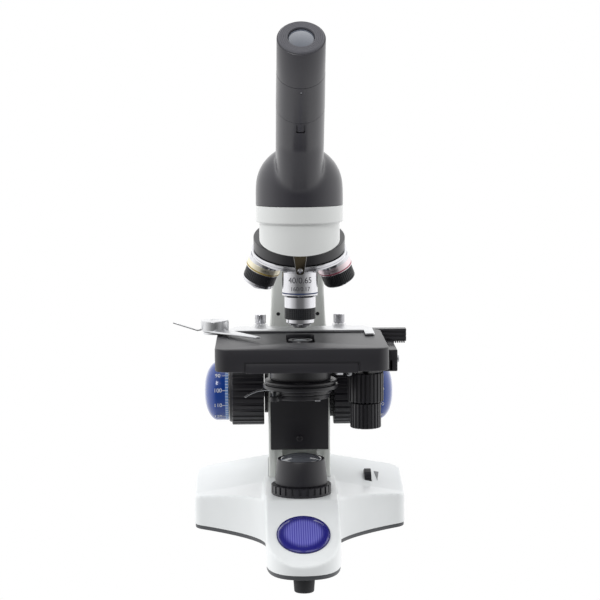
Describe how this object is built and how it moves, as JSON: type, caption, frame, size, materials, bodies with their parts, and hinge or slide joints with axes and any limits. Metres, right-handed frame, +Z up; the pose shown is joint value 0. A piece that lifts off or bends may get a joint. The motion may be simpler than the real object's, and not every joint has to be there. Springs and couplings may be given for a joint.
{
  "type": "microscope",
  "caption": "Upright monocular teaching microscope with a cast stand, mechanical stage, condenser, lamp, revolving nosepiece and slanted eyepiece head.",
  "frame": {"origin": "middle of the front foot's sole, on the surface that the microscope stands on", "axes": "+Z up along the optical axis, +X to the user's right, +Y away from the user, towards the arm"},
  "size_m": [0.164, 0.223, 0.3669],
  "materials": {
    "white_paint": "smooth white powder coat, satin gloss",
    "arm_paint": "smooth off-white powder coat, satin gloss",
    "dark_plate": "dark grey moulded plastic, matte",
    "black_plastic": "black moulded plastic, fine satin",
    "head_plastic": "charcoal moulded plastic, satin",
    "black_metal": "black stove enamel, satin",
    "foot_rubber": "moulded black rubber",
    "chrome": "polished chrome plate",
    "steel": "turned bright steel",
    "satin_steel": "satin nickel-plated sheet",
    "brass": "machined brass",
    "blue_knob": "glossy blue moulded plastic",
    "badge_enamel": "clear domed blue enamel",
    "glass": "polished optical glass",
    "circuit_board": "green circuit board"
  },
  "bodies": {
    "stand": {"base_shell": "white_paint", "base_plate": "dark_plate", "foot_front": "foot_rubber", "foot_rear_left": "foot_rubber", "foot_rear_right": "foot_rubber", "arm": "arm_paint", "head_bowl": "white_paint", "badge": "badge_enamel", "dc_inlet": "black_plastic", "power_board": "circuit_board", "lamp_housing": "black_plastic", "lamp_ring": "black_plastic", "led_module": "steel", "lamp_lens": "glass", "nosepiece_mount": "black_metal", "click_spring": "black_metal"},
    "coarse_drive": {"coarse_shaft": "steel", "coarse_knob_left": "black_plastic", "coarse_knob_right": "black_plastic"},
    "fine_drive": {"fine_shaft": "steel", "fine_knob_left": "blue_knob", "fine_knob_right": "blue_knob"},
    "tension": {"tension_ring": "black_plastic"},
    "lift": {"coarse_slide": "black_metal", "focus_rack": "brass"},
    "stage": {"stage_carrier": "black_metal", "stage_bracket": "black_metal", "stage_top": "black_metal", "condenser_holder": "black_metal"},
    "condenser_clamp": {"condenser_screw": "chrome"},
    "condenser": {"condenser_body": "black_metal", "condenser_top_lens": "glass", "condenser_field_lens": "glass", "filter_pin": "steel"},
    "iris": {"iris_lever": "steel"},
    "filter": {"filter_holder": "black_plastic"},
    "carriage": {"y_carriage": "black_metal"},
    "y_drive": {"y_knob": "black_plastic"},
    "x_drive": {"x_knob": "black_plastic"},
    "holder": {"x_bar": "black_metal", "slide_holder": "satin_steel"},
    "finger": {"slide_finger": "satin_steel"},
    "screw_left": {"thumbscrew_left": "chrome"},
    "screw_right": {"thumbscrew_right": "chrome"},
    "nosepiece": {"turret": "chrome", "objective_40x": "chrome", "objective_10x": "chrome", "objective_4x": "chrome", "port_plug": "black_plastic"},
    "nose_40x": {"objective_40x_nose": "chrome"},
    "head": {"head_dome": "head_plastic", "eyepiece_tube": "head_plastic", "head_prism": "glass"},
    "ocular": {"eyepiece": "head_plastic", "eye_lens": "glass", "field_lens": "glass"},
    "dimmer": {"dimmer_wheel": "black_plastic", "dimmer_shaft": "steel"}
  },
  "joints": [
    {"name": "coarse_lift", "type": "slide", "parent": "stand", "child": "lift", "axis": [0, 0, 1], "range_m": [-0.0095, 0.0045]},
    {"name": "coarse_turn", "type": "hinge", "parent": "stand", "child": "coarse_drive", "pos_m": [0, 0.149, 0.109], "axis": [1, 0, 0], "range_deg": [-56.5, 118.8]},
    {"name": "fine_lift", "type": "slide", "parent": "lift", "child": "stage", "axis": [0, 0, 1], "range_m": [-0.0004, 0.0004]},
    {"name": "fine_turn", "type": "hinge", "parent": "stand", "child": "fine_drive", "pos_m": [0, 0.149, 0.109], "axis": [1, 0, 0], "range_deg": [-721, 721]},
    {"name": "tension_turn", "type": "hinge", "parent": "stand", "child": "tension", "pos_m": [0, 0.149, 0.109], "axis": [1, 0, 0], "range_deg": [-30, 60]},
    {"name": "clamp_turn", "type": "hinge", "parent": "stage", "child": "condenser_clamp", "pos_m": [0.024, 0.074, 0.134], "axis": [1, 0, 0], "range_deg": [-360, 0]},
    {"name": "condenser_slide", "type": "slide", "parent": "stage", "child": "condenser", "axis": [0, 0, 1], "range_m": [-0.006, 0]},
    {"name": "iris_turn", "type": "hinge", "parent": "condenser", "child": "iris", "pos_m": [0, 0.074, 0.121], "axis": [0, 0, 1], "range_deg": [-45, 15]},
    {"name": "filter_swing", "type": "hinge", "parent": "condenser", "child": "filter", "pos_m": [-0.018, 0.057, 0.1175], "axis": [0, 0, -1], "range_deg": [0, 90]},
    {"name": "y_travel", "type": "slide", "parent": "stage", "child": "carriage", "axis": [0, 1, 0], "range_m": [-0.01, 0.012]},
    {"name": "y_turn", "type": "hinge", "parent": "carriage", "child": "y_drive", "pos_m": [0.0453, 0.092, 0.12], "axis": [0, 0, 1], "range_deg": [-144, 173]},
    {"name": "x_travel", "type": "slide", "parent": "carriage", "child": "holder", "axis": [1, 0, 0], "range_m": [-0.024, 0.012]},
    {"name": "x_turn", "type": "hinge", "parent": "carriage", "child": "x_drive", "pos_m": [0.0453, 0.092, 0.1], "axis": [0, 0, 1], "range_deg": [-173, 345]},
    {"name": "finger_swing", "type": "hinge", "parent": "holder", "child": "finger", "pos_m": [-0.0586, 0.096, 0.16], "axis": [0, 0, 1], "range_deg": [-35, 0], "stiffness_Nm_per_rad": 0.03, "springref_deg": 22.92},
    {"name": "screw_left_turn", "type": "hinge", "parent": "holder", "child": "screw_left", "pos_m": [-0.0271, 0.1355, 0.162], "axis": [0, 0, 1], "range_deg": [0, 360]},
    {"name": "screw_right_turn", "type": "hinge", "parent": "holder", "child": "screw_right", "pos_m": [0.0289, 0.1355, 0.162], "axis": [0, 0, 1], "range_deg": [0, 360]},
    {"name": "nosepiece_turn", "type": "hinge", "parent": "stand", "child": "nosepiece", "pos_m": [0, 0.074, 0.2667], "axis": [0, 0.342, -0.9397], "continuous": true},
    {"name": "nose_40x_spring", "type": "slide", "parent": "nosepiece", "child": "nose_40x", "axis": [0, 0, 1], "range_m": [0, 0.0015], "stiffness_N_per_m": 400, "springref_m": -0.004},
    {"name": "head_turn", "type": "hinge", "parent": "stand", "child": "head", "pos_m": [0, 0.074, 0.2475], "axis": [0, 0, 1], "continuous": true},
    {"name": "eyepiece_turn", "type": "hinge", "parent": "head", "child": "ocular", "pos_m": [0, 0.074, 0.2585], "axis": [0, -0.7071, 0.7071], "continuous": true},
    {"name": "dimmer_turn", "type": "hinge", "parent": "stand", "child": "dimmer", "pos_m": [0.05, 0.157, 0.0371], "axis": [1, 0, 0], "range_deg": [0, 270]}
  ],
  "couplings": [
    {"joint": "coarse_turn", "follows": "coarse_lift", "rad_per_m": -217.39},
    {"joint": "fine_turn", "follows": "fine_lift", "rad_per_m": -31416},
    {"joint": "y_turn", "follows": "y_travel", "rad_per_m": 250},
    {"joint": "x_turn", "follows": "x_travel", "rad_per_m": -250}
  ]
}
